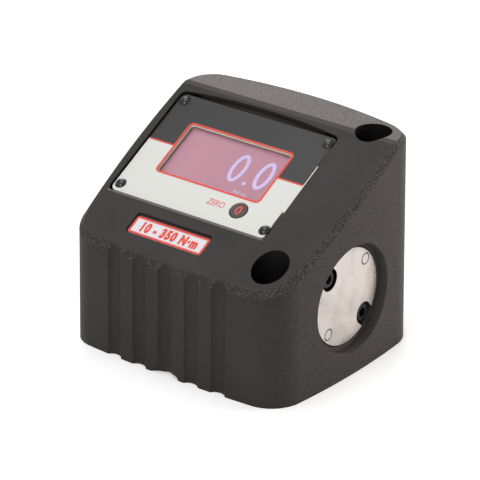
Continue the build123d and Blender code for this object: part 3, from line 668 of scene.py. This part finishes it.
class TESTER_OT_housing(bpy.types.Operator):
    """Powder coat on the housing and paint on the base plate"""

    bl_idname = "tester.housing"
    bl_label = "Housing"

    def execute(self, context):
        chosen = context.scene.tester_housing
        finish = Finish("powder_coat", Specular_IOR_Level=0.2)
        tree = finish.tree
        faces = self.faces(tree)
        # Flecks, partly real grain and partly painted highlights, are thickest on the edges and the flat top
        grain = finish.grain(chosen.grain, weighted(tree, faces, base=0.04, edge=0.5, flat=0.3))
        coat = self.coat(finish, chosen, faces, grain)
        place = finish.slope()
        # Painted highlight along the recess's edge in front of the panel
        coat = mixed(tree, self.lip_highlight(context, tree, place), coat, solid(chosen.lip_highlight))
        # Painted shade in the deep bolt wells and in the gap round the panel
        painted_shade = maths(tree, "MAXIMUM", self.well_shade(finish), self.gap_shade(context, tree, place))
        finish.set("Base Color", mixed(tree, painted_shade, coat, solid(chosen.bore_shade)))
        dull, glossy = chosen.roughness + 0.1, chosen.roughness - 0.06
        finish.set("Roughness", ramp(tree, grain["Height"], *COAT_HEIGHT, dull, glossy))
        rough = weighted(tree, faces, base=0.2, edge=1.6, sides=0.9, flat=0.5)
        finish.relief(maths(tree, "MULTIPLY", grain["Height"], rough), chosen.relief)
        dress(finish.material, "housing")
        dress(moulded("base_paint", chosen.coat, roughness=0.4, size=0.3 * MM), "base_plate")
        return {"FINISHED"}

    def faces(self, tree):
        """Masks of the kinds of face, told apart by where their normals point."""
        normal = add_node(tree, "ShaderNodeNewGeometry").outputs["Normal"]
        axes = add_node(tree, "ShaderNodeSeparateXYZ", {0: normal}).outputs
        edge, steep, crease, flat, sides = (
            ramp(tree, axes["Z"], *span) for span in (EDGE_UP, EDGE_NOT_SLOPE, CREASE_UP, FLAT_UP, SIDES_UP)
        )
        return {
            "edge": maths(tree, "MULTIPLY", edge, steep),
            "crease": maths(tree, "SUBTRACT", crease, flat),
            "flat": flat,
            "sides": sides,
            "front": ramp(tree, axes["Y"], *FRONT_BACK),
        }

    def coat(self, finish, chosen, faces, grain):
        """Colour of the coat: cloudy, with painted shade on edges, crease and sides, painted grazing
        highlights on the sides' grain, pale grain flecks that are partly painted highlights, and painted
        light round the flange.
        """
        tree = finish.tree
        # Dark colour of the painted shade on the edges, the crease and the sides
        dark = solid(chosen.coat, 0.3)
        cloud = ramp(tree, grain["Shade"], *CLOUD)
        coat = mixed(tree, cloud, solid(chosen.coat, 0.82), solid(chosen.coat, 1.15))
        # Painted shade on the edges and the crease
        coat = mixed(tree, weighted(tree, faces, edge=0.4, crease=0.6), coat, dark)
        # Painted grazing light on the sides, strongest towards the back: painted shade over all and painted
        # highlights on the raised grain
        grazing_light = maths(tree, "MULTIPLY", faces["sides"], weighted(tree, faces, base=1.0, front=-0.75))
        coat = mixed(tree, maths(tree, "MULTIPLY", grazing_light, 0.3), coat, dark)
        raised_highlight = maths(tree, "MULTIPLY", grazing_light, ramp(tree, grain["Height"], *GRAZING_HIGHLIGHT_HEIGHT))
        coat = mixed(tree, raised_highlight, coat, solid(chosen.coat, 1.7))
        # Pale flecks of grain, partly painted highlights, thickest on the edges and the flat top
        fleck_highlight_weight = weighted(tree, faces, base=0.04, edge=0.6, flat=0.5)
        coat = mixed(tree, maths(tree, "MULTIPLY", grain["Fleck"], fleck_highlight_weight), coat, solid(chosen.fleck))
        # Painted light in the recess round the flange
        recess = within(tree, finish.beside_shaft(), chosen.recess_radius, FINE_EDGE)
        return mixed(tree, recess, coat, solid(chosen.coat, chosen.recess_painted_light))

    def well_shade(self, finish):
        """Mask of the deep bores of the bolt wells, which take painted shade."""
        tree = finish.tree
        reaches = [round_axis(tree, finish.place, well, ROUND_Z) for well in WELLS]
        return maths(tree, "MAXIMUM", *(within(tree, reach, WELL_REACH, WELL_EDGE) for reach in reaches))

    def over_panel(self, context, tree, place, spare):
        """Mask of what lies over the panel's width, and a little beside it."""
        panel = context.scene.tester_panel
        middle_x = (panel.left + panel.right) / 2
        reach = (panel.right - panel.left) / 2 + spare
        across = maths(tree, "ABSOLUTE", maths(tree, "SUBTRACT", place["Across"], middle_x))
        return within(tree, across, reach, SOFT_EDGE)

    def lip_highlight(self, context, tree, place):
        """Mask of the painted highlight along the edge of the recess in front of the panel."""
        chosen = context.scene.tester_housing
        up = maths(tree, "ABSOLUTE", maths(tree, "SUBTRACT", place["Up"], chosen.lip_up))
        on_line = within(tree, up, chosen.lip_width / 2, 1.5 * SOFT_EDGE)
        on_face = within(tree, maths(tree, "ABSOLUTE", place["Depth"]), chosen.lip_depth, 1.5 * FINE_EDGE)
        on_lip_highlight = maths(tree, "MULTIPLY", on_line, on_face)
        return maths(tree, "MULTIPLY", self.over_panel(context, tree, place, 0.0), on_lip_highlight)

    def gap_shade(self, context, tree, place):
        """Mask of the sides of the panel's recess, which take painted shade in the gap round the panel."""
        chosen = context.scene.tester_housing
        gap = beyond(tree, place["Depth"], chosen.gap_depth, SOFT_EDGE)
        for mask in (
            within(tree, place["Depth"], chosen.gap_floor, 5 * SOFT_EDGE),
            beyond(tree, place["Up"], chosen.lip_up - chosen.lip_width / 2, SOFT_EDGE),
            within(tree, place["Up"], chosen.gap_up, 3 * SOFT_EDGE),
            self.over_panel(context, tree, place, chosen.gap_beside),
        ):
            gap = maths(tree, "MULTIPLY", gap, mask)
        return gap


class TESTER_OT_metal(bpy.types.Operator):
    """Ground, blackened, plated and turned metal"""

    bl_idname = "tester.metal"
    bl_label = "Metal"

    def execute(self, context):
        chosen = context.scene.tester_metal
        dress(self.ground_steel(chosen), "torque_shaft", "flange_dowels")
        dress(self.blackened(chosen), "flange_screws")
        dress(turned("bush_bronze", chosen.bronze, roughness=0.3), "drive_bush")
        dress(turned("nickel_plate", chosen.zinc, roughness=0.2, centre=INLET_MIDDLE), "inlet_nut")
        dress(turned("turned_brass", chosen.brass, roughness=0.28), "board_pillars")
        dress(turned("zinc_plate", chosen.zinc, roughness=0.32), "board_screws")
        return {"FINISHED"}

    def blackened(self, chosen):
        """Black oxide, dull, with turned marks."""
        finish = Finish("black_oxide", roughness=0.45, Specular_IOR_Level=0.25)
        marks = finish.marks()
        paler = solid(chosen.oxide, 2.5)
        finish.set("Base Color", mixed(finish.tree, marks["Cloud"], solid(chosen.oxide), paler))
        finish.relief(marks["Rings"], distance=0.003 * MM)
        return finish.material

    def ground_steel(self, chosen):
        """Ground steel, cloudy, with painted shade in the gap round each dowel, on the flange's sides and in
        the notches round the screws.
        """
        finish = Finish("ground_steel", metallic=0.45)
        tree = finish.tree
        marks = finish.marks()
        dark = solid(chosen.steel, 0.25)
        rim_shades, notch_shades = [], []
        # Painted shade in the gap round each dowel
        for angle in DOWEL_ANGLES:
            edge = maths(tree, "SUBTRACT", finish.beside_shaft(chosen.dowel_circle, angle), chosen.dowel_rim)
            rim_shades.append(within(tree, maths(tree, "ABSOLUTE", edge), chosen.dowel_line / 2, SOFT_EDGE))
        # Painted shade in the notch round each screw, in the screws' black oxide colour
        for angle in SCREW_ANGLES:
            reach = finish.beside_shaft(chosen.screw_circle, angle)
            notch_shades.append(within(tree, reach, chosen.notch_radius, FINE_EDGE))
        # Painted shade on the flange's sides and chamfer
        normal = add_node(tree, "ShaderNodeNewGeometry").outputs["Normal"]
        side_shade = ramp(tree, maths(tree, "ABSOLUTE", along(tree, normal, ACROSS)), *FLANGE_SIDE)
        patches = ramp(tree, marks["Cloud"], *STEEL_PATCHES)
        steel = mixed(tree, patches, solid(chosen.steel, 0.86), solid(chosen.steel, 1.06))
        steel = mixed(tree, maths(tree, "MAXIMUM", *rim_shades), steel, dark)
        steel = mixed(tree, side_shade, steel, dark)
        steel = mixed(tree, maths(tree, "MAXIMUM", *notch_shades), steel, solid(chosen.oxide))
        finish.set("Base Color", steel)
        finish.set("Roughness", ramp(tree, marks["Cloud"], *CLOUD, out_low=0.24, out_high=0.4))
        finish.relief(marks["Rings"], distance=0.002 * MM)
        return finish.material


class TESTER_OT_front_panel(bpy.types.Operator):
    """Print on the front panel, its fixings and gasket, and the red frame round its window"""

    bl_idname = "tester.front_panel"
    bl_label = "Front Panel"

    def execute(self, context):
        chosen = context.scene.tester_panel
        dress(self.panel_print(chosen, context.scene.tester_key), "front_panel")
        gloss = painted(
            "gloss_black", chosen.fixing, size=0.6 * MM, relief=0.006 * MM, darkest=0.375, roughness=0.16,
            Coat_Weight=0.25, Coat_Roughness=0.06, Specular_IOR_Level=0.3
        )
        dress(gloss, "panel_rivets")
        dress(moulded("gasket_foam", chosen.gasket, roughness=0.8), "panel_gasket")
        band("window_frame", chosen.frame_width, chosen.frame_length, chosen.frame_corner, chosen.frame_band,
             chosen.frame_rise, on_slope(chosen.frame_x, chosen.frame_up, PANEL_DEPTH),
             print_ink("red_ink", chosen.red), "case")
        return {"FINISHED"}

    def panel_print(self, chosen, key):
        """Dark and pale parts with a line between them, a rim round the key, and bare edges."""
        finish = Finish("panel_print", Specular_IOR_Level=0.35)
        tree = finish.tree
        place = finish.slope()
        above = beyond(tree, place["Up"], chosen.split, FINE_EDGE)
        above_line = beyond(tree, place["Up"], chosen.split - chosen.line, FINE_EDGE)
        line = maths(tree, "SUBTRACT", above_line, above)
        printed = mixed(tree, above, solid(chosen.pale), solid(chosen.dark))
        printed = mixed(tree, line, printed, solid(chosen.red))
        from_key = finish.slope(slope_point(key.x, key.up, PANEL_DEPTH))["Radius"]
        rim = within(tree, from_key, chosen.rim_radius, FINE_EDGE)
        printed = mixed(tree, rim, printed, solid(chosen.rim))
        margin = beyond(tree, place["Across"], chosen.right - chosen.margin, FINE_EDGE)
        printed = mixed(tree, margin, printed, solid(chosen.cut))
        normal = add_node(tree, "ShaderNodeNewGeometry").outputs["Normal"]
        cut_edge = ramp(tree, along(tree, normal, OUT), *CUT_EDGE)
        finish.set("Base Color", mixed(tree, cut_edge, printed, solid(chosen.cut)))
        grain = finish.grain(size=0.25 * MM)
        finish.set("Roughness", ramp(tree, grain["Shade"], *CLOUD, out_low=0.36, out_high=0.46))
        finish.relief(grain["Height"], distance=0.006 * MM)
        return finish.material


class TESTER_OT_display(bpy.types.Operator):
    """Tinted window, display ground, digits, point and unit"""

    bl_idname = "tester.display"
    bl_label = "Display"

    def execute(self, context):
        chosen = context.scene.tester_display
        panel = context.scene.tester_panel
        dress(self.window_pane(chosen), "display_window")
        dress(self.display_ground(chosen, panel.frame_x, panel.frame_up), "lcd_glass")
        ink = self.digit_ink(chosen)
        for number, x in enumerate(chosen.digit_x, start=1):
            band(f"display_digit_{number}", chosen.digit_width, chosen.digit_length, None,
                 chosen.digit_stroke, PRINT_THICKNESS, on_slope(x, chosen.digit_up, DISPLAY_DEPTH), ink,
                 "case")
        level = DISPLAY_DEPTH - PRINT_THICKNESS / 2
        words("display_point", ".", chosen.point_size, chosen.point_size,
              on_slope(chosen.point_x, chosen.point_up, level), ink, "case")
        words("display_unit", chosen.unit, chosen.unit_width, chosen.unit_length,
              on_slope(chosen.unit_x, chosen.unit_up, level), ink, "case", slant=0.1)
        return {"FINISHED"}

    def window_pane(self, chosen):
        """Clear pane with a slight tint and unevenness."""
        finish = Finish("window_pane", roughness=0.03, Transmission_Weight=1.0, IOR=1.46)
        haze = finish.grain(size=8 * MM)
        tint = mixed(finish.tree, haze["Shade"], solid(chosen.pane_dark), solid(chosen.pane_pale))
        finish.set("Base Color", tint)
        finish.relief(haze["Height"], distance=0.002 * MM)
        return finish.material

    def display_ground(self, chosen, x, up):
        """Lit ground of the display, a little darker towards the right."""
        finish = Finish("display_ground", roughness=0.25, Emission_Strength=chosen.glow)
        tree = finish.tree
        place = finish.slope(slope_point(x, up, DISPLAY_DEPTH))
        to_right = ramp(tree, place["Across"], -chosen.shade_reach, chosen.shade_reach)
        cells = add_node(tree, "ShaderNodeTexNoise", {"Vector": finish.place, "Scale": 60.0, "Detail": 2.0})
        tint = mixed(tree, cells.outputs["Fac"], solid(chosen.ground), solid(chosen.ground, 1.06))
        tint = mixed(tree, maths(tree, "MULTIPLY", to_right, 0.5), tint, solid(chosen.ground, 0.86))
        finish.set("Base Color", tint)
        finish.set("Emission Color", tint)
        return finish.material

    def digit_ink(self, chosen):
        """Lit digits, slightly uneven."""
        finish = Finish("display_digit", roughness=0.3, Emission_Strength=chosen.glow)
        cloud = finish.grain(size=0.5 * MM)
        tint = mixed(finish.tree, cloud["Shade"], solid(chosen.digit), solid(chosen.digit, 0.9))
        finish.set("Base Color", tint)
        finish.set("Emission Color", tint)
        return finish.material


class TESTER_OT_key(bpy.types.Operator):
    """Zero key and its figure, and the word beside it"""

    bl_idname = "tester.key"
    bl_label = "Zero Key"

    def execute(self, context):
        chosen = context.scene.tester_key
        cap = painted("key_cap", chosen.cap, size=0.3 * MM, relief=0.01 * MM, darkest=0.85, roughness=0.34)
        dress(cap, "zero_key")
        ink = print_ink("red_ink", context.scene.tester_panel.red)
        words("key_figure", "0", chosen.figure_width, chosen.figure_length,
              on_slope(chosen.x, chosen.up, KEY_DEPTH - PRINT_LIFT), ink, "key", weight=0.012)
        words("key_word", chosen.word, chosen.word_width, chosen.word_length,
              on_slope(chosen.word_x, chosen.word_up, PANEL_DEPTH - PRINT_LIFT), ink, "case",
              slant=0.06, weight=0.004)
        return {"FINISHED"}


class TESTER_OT_label(bpy.types.Operator):
    """Range label with its red border and figures"""

    bl_idname = "tester.label"
    bl_label = "Range Label"

    def execute(self, context):
        chosen = context.scene.tester_label
        ink = print_ink("red_ink", context.scene.tester_panel.red)
        dress(print_ink("label_ground", chosen.ground, roughness=0.45), "range_label")
        band("label_border", chosen.width, chosen.length, chosen.corner, chosen.border, chosen.border_rise,
             on_slope(chosen.x, chosen.up, LABEL_DEPTH), ink, "case")
        level = LABEL_DEPTH - PRINT_THICKNESS / 2
        words("label_range", chosen.measuring_range, chosen.range_width, chosen.range_length,
              on_slope(chosen.range_x, chosen.up, level), ink, "case",
              weight=0.068, spread=1.2)
        return {"FINISHED"}


class TESTER_OT_inner_pieces(bpy.types.Operator):
    """Rubber, plastic and board inside the housing, and the power inlet"""

    bl_idname = "tester.inner_pieces"
    bl_label = "Inner Pieces"

    def execute(self, context):
        chosen = context.scene.tester_inner
        for name, setting, roughness, grain, nodes in INNER_FINISHES:
            dress(moulded(name, getattr(chosen, setting), roughness, grain), *nodes)
        dress(self.inlet_black(chosen), "power_inlet")
        return {"FINISHED"}

    def inlet_black(self, chosen):
        """Moulded black with a plated pin in its middle."""
        finish = Finish("inlet_black")
        tree = finish.tree
        from_axis = round_axis(tree, finish.place, INLET_MIDDLE, ROUND_Y)
        pin = maths(tree, "LESS_THAN", from_axis, chosen.pin_radius)
        finish.set("Base Color", mixed(tree, pin, solid(chosen.black), solid(chosen.pin)))
        finish.set("Metallic", pin)
        finish.set("Roughness", ramp(tree, pin, 0, 1, out_low=0.42, out_high=0.2))
        finish.relief(finish.grain(size=0.4 * MM)["Height"], distance=0.01 * MM)
        return finish.material


class TESTER_OT_base_screws(bpy.types.Operator):
    """Countersunk screws with a cross recess, under the base plate"""

    bl_idname = "tester.base_screws"
    bl_label = "Base Screws"

    def execute(self, context):
        chosen = context.scene.tester_screws
        low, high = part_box("base_screws")
        points = [v.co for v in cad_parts["base_screws"].data.vertices]
        head = chosen.head_radius
        zinc = turned("screw_zinc", context.scene.tester_metal.zinc, roughness=0.3)
        pieces = []
        for x, right in ((low.x + head, False), (high.x - head, True)):
            column = [point.y for point in points if (point.x > 0) == right]
            for y in (min(column) + head, max(column) - head):
                name = f"base_screw_{len(pieces) + 1}"
                pieces.append(self.screw(name, Vector((x, y, low.z)), high.z - low.z, chosen, zinc))
        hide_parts("base_screws")
        return {"FINISHED"}

    def screw(self, name, place, reach, chosen, material):
        """One screw: a head whose edge is softened, a shank, and a cross recess."""
        clear_selection()
        head, height = chosen.head_radius, chosen.head_height
        centre = (0, 0, height / 2)
        bpy.ops.mesh.primitive_cylinder_add(vertices=40, radius=head, depth=height, location=centre)
        piece = bpy.context.object
        bpy.ops.object.transform_apply(location=True)
        bpy.ops.object.mode_set(mode="EDIT")
        bpy.ops.mesh.select_all(action="DESELECT")
        bpy.ops.mesh.select_mode(type="FACE")
        bpy.ops.object.mode_set(mode="OBJECT")
        for face in piece.data.polygons:
            face.select = face.normal.z > 0.9
        bpy.ops.object.mode_set(mode="EDIT")
        narrowing = chosen.shank_radius / head
        bpy.ops.transform.resize(value=(narrowing, narrowing, 1))
        bpy.ops.mesh.extrude_region_move(TRANSFORM_OT_translate={"value": (0, 0, reach - height)})
        bpy.ops.object.mode_set(mode="OBJECT")
        apply_modifier(piece, "BEVEL", width=chosen.softening, segments=2, angle_limit=radians(40))
        cutter = self.cross(chosen)
        clear_selection()
        piece.select_set(True)
        bpy.context.view_layer.objects.active = piece
        apply_modifier(piece, "BOOLEAN", object=cutter, operation="DIFFERENCE", use_self=True)
        bpy.data.objects.remove(cutter)
        close_mesh(piece)
        return finish_piece(piece, name, Matrix.Translation(place), material, "case")

    def cross(self, chosen):
        """Two crossed bars that cut the recess, half below the head's face."""
        clear_selection()
        bpy.ops.mesh.primitive_cube_add(size=1)
        cutter = bpy.context.object
        cutter.scale = (chosen.slot_length, chosen.slot_width, 2 * chosen.slot_depth)
        bpy.ops.object.transform_apply(scale=True)
        bpy.ops.object.mode_set(mode="EDIT")
        bpy.ops.mesh.select_all(action="SELECT")
        bpy.ops.mesh.duplicate_move()
        bpy.ops.transform.rotate(value=radians(90), orient_axis="Z", center_override=(0, 0, 0))
        bpy.ops.object.mode_set(mode="OBJECT")
        return cutter


class TESTER_OT_stage(bpy.types.Operator):
    """Floor, lights, surroundings and camera"""

    bl_idname = "tester.stage"
    bl_label = "Stage"

    def execute(self, context):
        chosen = context.scene.tester_stage
        self.floor(chosen)
        context.scene.world = self.surroundings(chosen)
        for lamp in LAMPS:
            self.lamp(*lamp, chosen.aim)
        context.scene.camera = self.camera(chosen)
        context.scene.view_settings.view_transform = "Standard"
        return {"FINISHED"}

    def floor(self, chosen):
        """Pale floor that keeps the object's shadow."""
        clear_selection()
        bpy.ops.mesh.primitive_plane_add(size=chosen.floor_size)
        floor = bpy.context.object
        floor.name = "floor"
        paint = Finish("floor_paint", roughness=0.9, Emission_Color=(1, 1, 1, 1))
        paint.set("Base Color", solid(chosen.floor))
        seen = paint.tree.nodes.new("ShaderNodeLightPath").outputs
        bright = maths(paint.tree, "MAXIMUM", seen["Is Camera Ray"], seen["Is Transmission Ray"])
        glossy = maths(paint.tree, "MULTIPLY", seen["Is Glossy Ray"], chosen.floor_gloss)
        paint.set("Emission Strength", maths(paint.tree, "MULTIPLY_ADD", bright, chosen.floor_glow, glossy))
        floor.data.materials.append(paint.material)

    def surroundings(self, chosen):
        """White where the camera, gloss or glass shows them, and a soft light otherwise."""
        world = bpy.data.worlds.new("studio")
        world.use_nodes = True
        tree = world.node_tree
        seen = tree.nodes.new("ShaderNodeLightPath").outputs
        bright = maths(tree, "MAXIMUM", seen["Is Camera Ray"], seen["Is Glossy Ray"])
        bright = maths(tree, "MAXIMUM", bright, seen["Is Transmission Ray"])
        strength = maths(tree, "MULTIPLY_ADD", bright, 1.0 - chosen.ambient, chosen.ambient)
        background = tree.nodes["Background"].inputs
        background["Color"].default_value = (1, 1, 1, 1)
        tree.links.new(strength, background["Strength"])
        return world

    def lamp(self, name, place, size, power, tint, aim):
        """Square lamp that faces a point."""
        bpy.ops.object.light_add(type="AREA", location=place)
        lamp = bpy.context.object
        lamp.name = name
        lamp.data.size = size
        lamp.data.energy = power
        lamp.data.color = tint
        lamp.rotation_euler = (aim - Vector(place)).to_track_quat("-Z", "Y").to_euler()

    def camera(self, chosen):
        """Camera at the photograph's viewing angle."""
        azimuth, elevation, roll = chosen.azimuth, chosen.elevation, chosen.roll
        back = Vector((sin(azimuth) * cos(elevation), -cos(azimuth) * cos(elevation), sin(elevation)))
        right = Vector((cos(azimuth), sin(azimuth), 0))
        rise = back.cross(right)
        turned_right = right * cos(roll) + rise * sin(roll)
        turned_rise = rise * cos(roll) - right * sin(roll)
        bpy.ops.object.camera_add()
        camera = bpy.context.object
        camera.name = "camera"
        camera.data.lens = chosen.lens
        camera.data.sensor_width = chosen.sensor
        camera.data.clip_end = chosen.far
        turn = Matrix((turned_right, turned_rise, back)).transposed().to_4x4()
        camera.matrix_world = Matrix.Translation(Vector(chosen.place)) @ turn
        return camera


OPERATORS = (
    TESTER_OT_stage,
    TESTER_OT_housing,
    TESTER_OT_metal,
    TESTER_OT_front_panel,
    TESTER_OT_display,
    TESTER_OT_key,
    TESTER_OT_label,
    TESTER_OT_inner_pieces,
    TESTER_OT_base_screws,
)
SETTINGS = {
    "tester_housing": HousingSettings,
    "tester_panel": PanelSettings,
    "tester_display": DisplaySettings,
    "tester_key": KeySettings,
    "tester_label": LabelSettings,
    "tester_metal": MetalSettings,
    "tester_inner": InnerSettings,
    "tester_screws": ScrewSettings,
    "tester_stage": StageSettings,
}


class TESTER_PT_pieces(bpy.types.Panel):
    """Lists the pieces in the sidebar"""

    bl_idname = "TESTER_PT_pieces"
    bl_label = "Torque Tester"
    bl_space_type = "VIEW_3D"
    bl_region_type = "UI"
    bl_category = "Torque Tester"

    def draw(self, context):
        for operator in OPERATORS:
            self.layout.operator(operator.bl_idname)
        for name in SETTINGS:
            box = self.layout.box()
            group = getattr(context.scene, name)
            for key in group.__annotations__:
                box.prop(group, key)


def register():
    """Registers the settings, the operators and the panel."""
    for name, group in SETTINGS.items():
        bpy.utils.register_class(group)
        setattr(bpy.types.Scene, name, PointerProperty(type=group))
    for kind in (*OPERATORS, TESTER_PT_pieces):
        bpy.utils.register_class(kind)


def unregister():
    """Removes what register added."""
    for kind in (TESTER_PT_pieces, *reversed(OPERATORS)):
        bpy.utils.unregister_class(kind)
    for name, group in SETTINGS.items():
        delattr(bpy.types.Scene, name)
        bpy.utils.unregister_class(group)


def main():
    """Makes every piece in order."""
    register()
    for operator in OPERATORS:
        section, name = operator.bl_idname.split(".")
        getattr(getattr(bpy.ops, section), name)()


if __name__ == "__main__":
    main()
